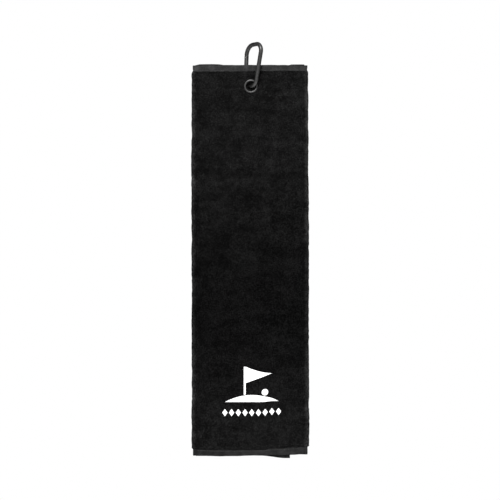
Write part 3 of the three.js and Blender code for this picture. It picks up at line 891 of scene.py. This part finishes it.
def flat_hem(name, x0, x1, end, layer, upper, lower, stands_for, body, weave):
    """A flap's straight hem at one end of the towel."""
    top, pitch, thick = end
    down, out = hem_section(HEM, thick, seam_at(top))
    down, out = down[None, :], out[None, :]
    x = np.linspace(x0, x1, 110)[:, None]
    crinkle = np.minimum(0.08 * fine(x, down + top + 90, 3.5) - 0.05, 0)
    y = layer * pitch + out * rounded_end(np.minimum(x - x0, x1 - x), 0.6) + np.sign(out) * crinkle
    rings = place(x, y + sway(x, top + down), hem_drop(x, top, down, upper, lower, 50))
    verts, faces = sweep(rings)
    return make(name, verts, faces, weave, body, stands_for)


def side_hem(name, layer, x0, edge_out, droop, stands_for, weave):
    """A flap's hem down its long cut edge; edge_out is +1 if the cut edge is on the right."""
    top, bottom = HEM + GAP, HEIGHT
    x1 = x0 + SIDE_HEM
    down, out = hem_section(SIDE_HEM, HEM_THICK, SEAM_INSET)
    x = (x0 + down if edge_out > 0 else x1 - down)[None, :]
    drop = np.linspace(top, bottom, 260)[:, None]
    squeeze = 1 - (1 - PRESSED / HEM_THICK) * press(x, drop)
    squeeze = squeeze * rounded_end(np.minimum(drop - top, bottom - drop), 0.7)
    crinkle = np.minimum(0.1 * fine(drop, x + 60, 4) - 0.08, 0)
    y = layer * pitch_at(x, drop) + out * squeeze + np.sign(out) * crinkle + sway(x, drop)
    from_pile = np.abs(x - (x0 if edge_out > 0 else x1))
    waver = 0.25 * edge_noise(drop, 300 + x0, 14) * smooth(from_pile, 2, SIDE_HEM)
    verts, faces = sweep(place(x + waver, y, drop + near_bottom(drop) * droop(x)))
    return make(name, verts, faces, weave, None, stands_for)


def flat(x):
    return 0 * np.asarray(x, float)


def top_upper(x):
    left = -1.1 - 0.65 * smooth(x, -44, -34) - 0.1 * smooth(x, -20, 10)
    return left + 0.5 * smooth(x, 44, 54) + 0.12 * edge_noise(x, 5, 9)


def under_top(x):
    """The two layers behind show a little above the front one near both sides."""
    left = smooth(x, -72, -64) * (1 - smooth(x, -42, -28))
    return -1.1 - 1.7 * left - 1.3 * smooth(x, 48, 54) + 0.15 * edge_noise(x, 65, 9)


def bottom_upper(x):
    return -bottom_rise(x)


def bottom_lower(x):
    left = 0.6 + 0.5 * smooth(x, -60, -40) - 0.9 * smooth(x, -18, 4)
    right = -0.6 * smooth(x, 15, 30) - 0.3 * smooth(x, 44, 50) - 0.6 * smooth(x, 50, 72)
    return left + right + 0.25 * edge_noise(x, 41, 8)


hem_top_front = wrapped_hem("hem_top_front", TOP_END, top_upper, top_lower, ["top_hem_front"])
hem_top_inner = flat_hem(
    "hem_top_inner", INNER_AXIS + GAP, INNER_EDGE, TOP_END, 0, under_top, flat,
    ["top_hem_inner"], "towel", WEAVE_SHADED,
)
hem_top_outer = flat_hem(
    "hem_top_outer", OUTER_EDGE, OUTER_AXIS - GAP, TOP_END, 1, under_top, flat,
    ["top_hem_outer"], "towel", WEAVE,
)
hem_bottom_front = wrapped_hem(
    "hem_bottom_front", BOTTOM_END, bottom_upper, bottom_lower, ["bottom_hem_front"],
)
hem_bottom_inner = flat_hem(
    "hem_bottom_inner", INNER_AXIS + 2, inner_pile_edge + 0.5, BOTTOM_END, 0, inner_droop, inner_droop,
    ["bottom_hem_inner"], "inner_flap", WEAVE_SHADED,
)
hem_bottom_outer = flat_hem(
    "hem_bottom_outer", outer_pile_edge, OUTER_AXIS - 2, BOTTOM_END, 1, outer_droop, outer_droop,
    ["bottom_hem_outer"], "outer_flap", WEAVE,
)
hem_side_inner = side_hem(
    "hem_side_inner", 0, INNER_EDGE - SIDE_HEM, 1, inner_droop, ["side_hem_inner"], WEAVE_SHADED,
)
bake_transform(hem_side_inner)
hem_side_outer = side_hem("hem_side_outer", 1, OUTER_EDGE, -1, outer_droop, ["side_hem_outer"], WEAVE)
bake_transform(hem_side_outer)

# ---- stitches ----


def stitches(name, points, facing, body, stands_for):
    """A row of short arched threads on a line of points. facing is +1 on a back face, -1 on a front one."""
    at = np.concatenate([[0], np.cumsum(np.linalg.norm(np.diff(points, axis=0), axis=1))])
    count = int((at[-1] - STITCH_LENGTH) // STITCH_PITCH)
    sides, rings = 8, 7
    around = np.arange(sides) * 2 * math.pi / sides
    outwards = np.array([0.0, facing, 0.0])
    t = np.linspace(-1, 1, rings)
    radius = STITCH_WIDTH / 2 * np.sqrt(np.clip(1 - 0.8 * np.abs(t) ** 6, 0.1, 1))
    verts, faces = [], []
    for k in range(count):
        s = k * STITCH_PITCH + STITCH_LENGTH / 2 + 0.4 + t * STITCH_LENGTH / 2
        line = np.stack([np.interp(s, at, points[:, c]) for c in range(3)], -1)
        ahead = line[-1] - line[0]
        ahead /= np.linalg.norm(ahead)
        beside = np.cross(ahead, outwards)
        line = line + outwards * (0.1 - 0.28 * t[:, None] ** 4) + beside * 0.06 * fine(k * 3.1, 900, 1)
        loops = [[p + r * (math.cos(a) * beside + 0.7 * math.sin(a) * outwards) for a in around]
                 for p, r in zip(line, radius)]
        v, f = sweep(loops)
        faces += [[i + k * rings * sides for i in face] for face in f]
        verts.append(v)
    return make(name, np.concatenate(verts), faces, YARN, body, stands_for)


def hem_line(x0, x1, end, layer, upper, lower):
    """Where the seam runs on the outer face of a hem at one end of the towel. The front layer is -1."""
    top, pitch, thick = end
    x = np.linspace(x0, x1, 160)
    drop = top + seam_at(top)
    share = seam_at(top) / HEM
    y = layer * pitch + (1 if layer >= 0 else -1) * (thick / 2 - 0.05)
    return place(x, y + sway(x, drop), drop + upper(x) * (1 - share) + lower(x) * share)


def side_line(x, layer, droop):
    """Where the seam runs down the back face of a side hem."""
    d = np.linspace(12, 490, 300)
    thick = HEM_THICK - (HEM_THICK - PRESSED) * press(x, d)
    return place(x, layer * pitch_at(x, d) + thick / 2 - 0.05 + sway(x, d), d + near_bottom(d) * droop(x))


first_x, last_x = -68, 66
top_front = hem_line(first_x, last_x, TOP_END, -1, top_upper, top_lower)
top_outer = hem_line(OUTER_EDGE + 2, OUTER_AXIS - 4, TOP_END, 1, under_top, flat)
bottom_front = hem_line(first_x, last_x, BOTTOM_END, -1, bottom_upper, bottom_lower)
bottom_outer = hem_line(outer_pile_edge + 2, OUTER_AXIS - 5, BOTTOM_END, 1, outer_droop, outer_droop)
side_inner = side_line(INNER_EDGE - SIDE_HEM + SEAM_INSET, 0, inner_droop)
side_outer = side_line(OUTER_EDGE + SIDE_HEM - SEAM_INSET, 1, outer_droop)
stitch_top_front = stitches("stitches_top_front", top_front, -1, "towel", ["top_thread_front"])
stitch_top_outer = stitches("stitches_top_outer", top_outer, 1, "towel", ["top_thread_outer"])
stitch_bottom_front = stitches("stitches_bottom_front", bottom_front, -1, "towel", ["bottom_thread_front"])
stitch_bottom_outer = stitches(
    "stitches_bottom_outer", bottom_outer, 1, "outer_flap", ["bottom_thread_outer"],
)
stitch_side_inner = stitches("stitches_side_inner", side_inner, 1, None, ["side_thread_inner"])
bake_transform(stitch_side_inner)
stitch_side_outer = stitches("stitches_side_outer", side_outer, 1, None, ["side_thread_outer"])
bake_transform(stitch_side_outer)

# ---- eyelet ----

EYELET_CENTRE = TOWEL_AT + np.array([EYELET_X, 0, -EYELET_DROP])


def rounded(profile):
    """A closed profile with its corners cut twice, which leaves them round."""
    points = np.asarray(profile, float)
    for _ in range(2):
        on = np.roll(points, -1, 0)
        points = np.stack([0.8 * points + 0.2 * on, 0.2 * points + 0.8 * on], 1).reshape(-1, 2)
    return points


def ring_piece(name, profile, stands_for):
    """A ring turned about the eyelet's axis from a closed profile of [radius, y] points."""
    sides = 96
    around = np.arange(sides) * 2 * math.pi / sides
    profile = rounded(profile)
    verts = [EYELET_CENTRE + (r * math.cos(a), y, r * math.sin(a)) for a in around for r, y in profile]
    faces = looped_faces(sides, len(profile))
    return make(name, verts, faces, EYELET_METAL, "towel", stands_for, sharp=50)


flange_seat = PRESSED_PITCH + PRESSED / 2 + GAP
washer_back = flange_seat + 0.55
curl_seat = washer_back + GAP
bore_r, barrel_r, flange_r, curl_r = 6.3, 6.8, 8.8, 8.0
washer_r = barrel_r + GAP
# as (radius, how far out from its seat)
curl = [
    (barrel_r + 0.3, 0), (curl_r, 0), (curl_r + 0.1, 0.3), (curl_r - 0.3, 0.6), (barrel_r + 0.4, 0.65),
    (bore_r + 0.4, 0.4), (bore_r + 0.1, 0),
]
flange = [
    (bore_r + 0.12, 0.4), (bore_r + 0.5, 0.85), (bore_r + 1.15, 1.05), (flange_r - 0.5, 0.85),
    (flange_r - 0.1, 0.4), (flange_r, 0),
]
ring = [
    (barrel_r, -flange_seat), (barrel_r, curl_seat - 0.1), *[(r, curl_seat + out) for r, out in curl],
    (bore_r, curl_seat - 0.6), (bore_r, -flange_seat + 0.3), *[(r, -flange_seat - out) for r, out in flange],
]
eyelet_ring = ring_piece("eyelet_ring", ring, ["eyelet"])
washer = [(washer_r, flange_seat), (flange_r, flange_seat), (flange_r, washer_back), (washer_r, washer_back)]
eyelet_back = ring_piece("eyelet_back_washer", washer, ["eyelet_washer"])


def bow_at(depth):
    """Where the rod crosses this y in the hook's lower end, and its direction there."""
    line = np.array([HOOK_TO_PART @ Vector((u, 0, v)) for u, v in hook_path(0.2) if v < -40])
    k = int(np.argmin(np.abs(line[:, 1] - depth)))
    ahead = line[k + 1] - line[k - 1]
    return line[k], ahead / np.linalg.norm(ahead)


def hole_shade_cone():
    """Painted shade: a cone of dark pile from the eyelet's bore to the rod, which closes the hole so that it
    shows dark, as the shaded hole does.
    """
    rim_depth, rod_depth, rim, thick = -2.2, 1.5, 6.5, 0.5
    rod, ahead = bow_at(rod_depth)
    a = np.linspace(0, 2 * math.pi, 72, endpoint=False)
    out = np.stack([np.cos(a), 0 * a, np.sin(a)], -1)
    at_rim = EYELET_CENTRE + rim * out
    at_rod = rod + out * (ROD / 2 / np.linalg.norm(np.cross(out, ahead), axis=1) - 0.1)[:, None]
    rows = []
    for t, back in [(t, 0) for t in np.linspace(0, 1, 12)] + [(t, 1) for t in np.linspace(1, 0, 12)]:
        row = at_rim * (1 - t) + at_rod * t
        row[:, 1] = rim_depth + (rod_depth - rim_depth) * t + thick * back
        row[:, 1] += 0.3 * math.sin(math.pi * t) * fine(a * 4 + 50, 3 * t, 1)
        rows.append(row)
    faces = looped_faces(len(rows), len(a))
    # painted shade: dark pile stands in for the shade inside the eyelet's hole
    made = make("eyelet_hole_shade_cone", np.concatenate(rows), faces, VELOUR, None)
    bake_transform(made)


hole_shade_cone()

# ---- print ----


def quadratic(a, b, c, count=28):
    t = np.linspace(0, 1, count)[:, None]
    return (1 - t) ** 2 * np.array(a) + 2 * t * (1 - t) * np.array(b) + t**2 * np.array(c)


def ink_piece(name, outlines, drop, stands_for):
    """Flat shapes of ink drawn about their own centre, laid on the pile so that they follow its waves."""
    cell = 2.5
    b = bmesh.new()
    for outline in outlines:
        b.faces.new([b.verts.new((p[0], 0, p[1])) for p in outline])
    for line, normal in zip(np.concatenate(outlines).T, ((1, 0, 0), (0, 0, 1))):
        for cut in np.arange(line.min() + cell, line.max(), cell):
            geom = b.verts[:] + b.edges[:] + b.faces[:]
            bmesh.ops.bisect_plane(b, geom=geom, plane_co=Vector(normal) * cut, plane_no=normal)
    bmesh.ops.triangulate(b, faces=b.faces)
    made = bmesh.ops.extrude_face_region(b, geom=b.faces[:])
    raised = {v for v in made["geom"] if isinstance(v, bmesh.types.BMVert)}
    bmesh.ops.recalc_face_normals(b, faces=b.faces)
    for v in b.verts:
        px, pd = v.co.x + EMBLEM_X, drop - v.co.z
        front = -PITCH - PILE / 2 + float(sway(px, pd)) + 0.1 * float(fine(px, pd, 5))
        level = -INK_STAND_OFF - (INK if v in raised else 0)
        v.co = (TOWEL_AT + np.array([px, front + level, -(pd - float(lift(px, pd)))])) * MM
    mesh = bpy.data.meshes.new(name)
    b.to_mesh(mesh)
    b.free()
    mesh.materials.append(INK_WHITE)
    return finish_mesh(name, mesh, "towel", stands_for, sharp=40)


def flag_outlines():
    """A low green, a pole on it and a pennant flying to the right."""
    right, top = EMBLEM_WIDTH / 2, EMBLEM_HEIGHT / 2
    pole_left, pole_right, pole_foot, hoist = -10.2, -7.8, -top + 9.4, -7.4
    tip = (26, top - 9)
    green = quadratic((right, -top), (0, -top + 18), (-right, -top), 60)
    pole = np.array([(pole_left, pole_foot), (pole_right, pole_foot), (pole_right, top), (pole_left, top)])
    under_side = quadratic((hoist, top - 21), (6, top - 16), tip)
    upper_side = quadratic(tip, (8, top - 7), (hoist, top))
    return [green, pole, np.concatenate([under_side, upper_side[1:]])]


def ball_outline():
    turn = np.linspace(0, 2 * math.pi, 48, endpoint=False)
    return np.stack([BALL_X + BALL_RADIUS * np.cos(turn), BALL_V + BALL_RADIUS * np.sin(turn)], -1)


def diamond_outlines():
    """A row of diamonds, a little apart."""
    pitch, half_width, half_height = RULE_WIDTH / DIAMONDS, 3.4, RULE_HEIGHT / 2
    outlines = []
    for k in range(DIAMONDS):
        x = (k - (DIAMONDS - 1) / 2) * pitch
        left, right = x - half_width, x + half_width
        outlines.append(np.array([(left, 0), (x, -half_height), (right, 0), (x, half_height)]))
    return outlines


ink_flag = ink_piece("ink_flag", flag_outlines(), EMBLEM_DROP, ["print_flag"])
ink_ball = ink_piece("ink_ball", [ball_outline()], EMBLEM_DROP, ["print_ball"])
ink_rule = ink_piece("ink_rule", diamond_outlines(), RULE_DROP, ["print_rule"])

# ---- studio ----

scene = bpy.context.scene
scene.view_settings.view_transform = "Standard"

camera_data = bpy.data.cameras.new("camera")
camera_data.lens, camera_data.sensor_width = 600, 36
camera = bpy.data.objects.new("camera", camera_data)
camera.location = CAMERA_AT
camera.rotation_euler = (math.pi / 2, 0, 0)
scene.collection.objects.link(camera)
scene.camera = camera

floor_mesh = bpy.data.meshes.new("floor")
floor_corners = [(x * FLOOR_HALF, y * FLOOR_HALF, 0) for x, y in ((-1, -1), (1, -1), (1, 1), (-1, 1))]
floor_mesh.from_pydata(floor_corners, [], [(0, 1, 2, 3)])
floor = bpy.data.objects.new("floor", floor_mesh)
floor.location = (0, 0, FLOOR_Z)
scene.collection.objects.link(floor)
floor_shader = Shader("floor_white", Base_Color=(0.93, 0.93, 0.93, 1), Roughness=0.9, Specular_IOR_Level=0.1)
floor_mesh.materials.append(floor_shader.material)


def sun(name, strength, size, towards):
    """A sun this many degrees wide, shining in a direction."""
    light = bpy.data.lights.new(name, "SUN")
    light.energy, light.angle = strength, math.radians(size)
    made = bpy.data.objects.new(name, light)
    made.rotation_mode = "QUATERNION"
    made.rotation_quaternion = Vector(towards).to_track_quat("-Z", "Y")
    scene.collection.objects.link(made)


sun("key", 3.4, 6, (0.14, 0.78, -0.6))
sun("fill", 2.3, 60, (-0.3, -0.68, -0.67))


def studio_world():
    """White behind the object, and for its light a room that is brightest in front, behind and above."""
    world = bpy.data.worlds.new("studio")
    scene.world = world
    world.use_nodes = True
    world.node_tree.nodes.clear()
    n = Nodes(world.node_tree)
    direction = n.add("TexCoord").outputs["Generated"]
    x, y, z = n.add("SeparateXYZ", Vector=direction).outputs
    ahead = n.math("POWER", n.math("MAXIMUM", n.math("MULTIPLY", y, -1.0), 0.0), 2.0)
    behind = n.math("POWER", n.math("MAXIMUM", y, 0.0), 2.0)
    up = n.math("MAXIMUM", z, 0.0)
    sides = n.math("POWER", n.math("ABSOLUTE", x), 2.0)
    level = n.math("ADD", n.total((ahead, 0.6), (behind, 0.54), (up, 0.45), (sides, 0.35)), 0.14)
    room = n.add("Background", Color=(1, 1, 1, 1), Strength=level).outputs[0]
    white = n.add("Background", Color=(1, 1, 1, 1)).outputs[0]
    seen = n.add("LightPath").outputs["Is Camera Ray"]
    mix = n.add("MixShader", i0=seen, i1=room, i2=white).outputs[0]
    n.add("OutputWorld", i0=mix)


studio_world()
